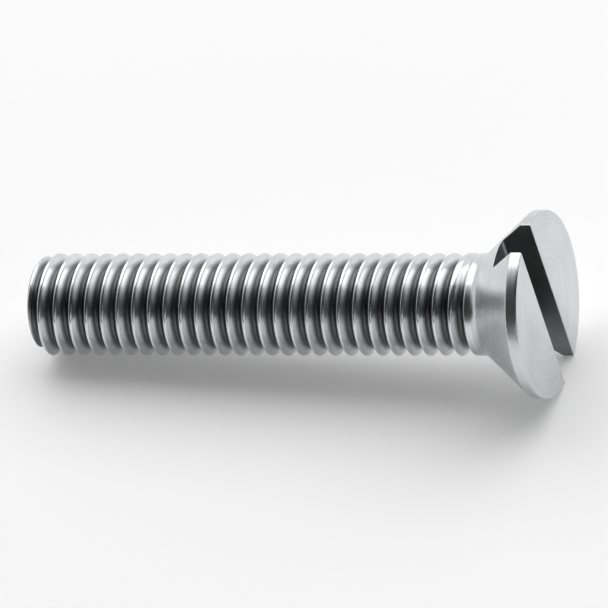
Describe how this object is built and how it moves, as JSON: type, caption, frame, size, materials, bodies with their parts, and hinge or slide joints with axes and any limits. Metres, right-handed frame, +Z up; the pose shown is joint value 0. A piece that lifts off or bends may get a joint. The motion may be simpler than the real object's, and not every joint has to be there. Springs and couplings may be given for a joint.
{
  "type": "slotted flat head machine screw",
  "caption": "Countersunk flat head machine screw with a straight driver slot and a left-hand thread up to the head, lying on its side.",
  "frame": {"origin": "middle of the lying screw's outline seen from above, on the surface it lies on", "axes": "+X along the screw towards its head, level; +Z up. The screw's own axis rises 4.5 degrees towards the head, and the driver slot stands upright, across its face from bottom to top"},
  "size_m": [0.0258, 0.0088, 0.0087],
  "materials": {
    "plated_steel": "bright zinc-plated steel: smooth rolled thread, fine turning rings on the head, sawn slot"
  },
  "bodies": {
    "root": {"machine_screw": "plated_steel"}
  },
  "joints": []
}
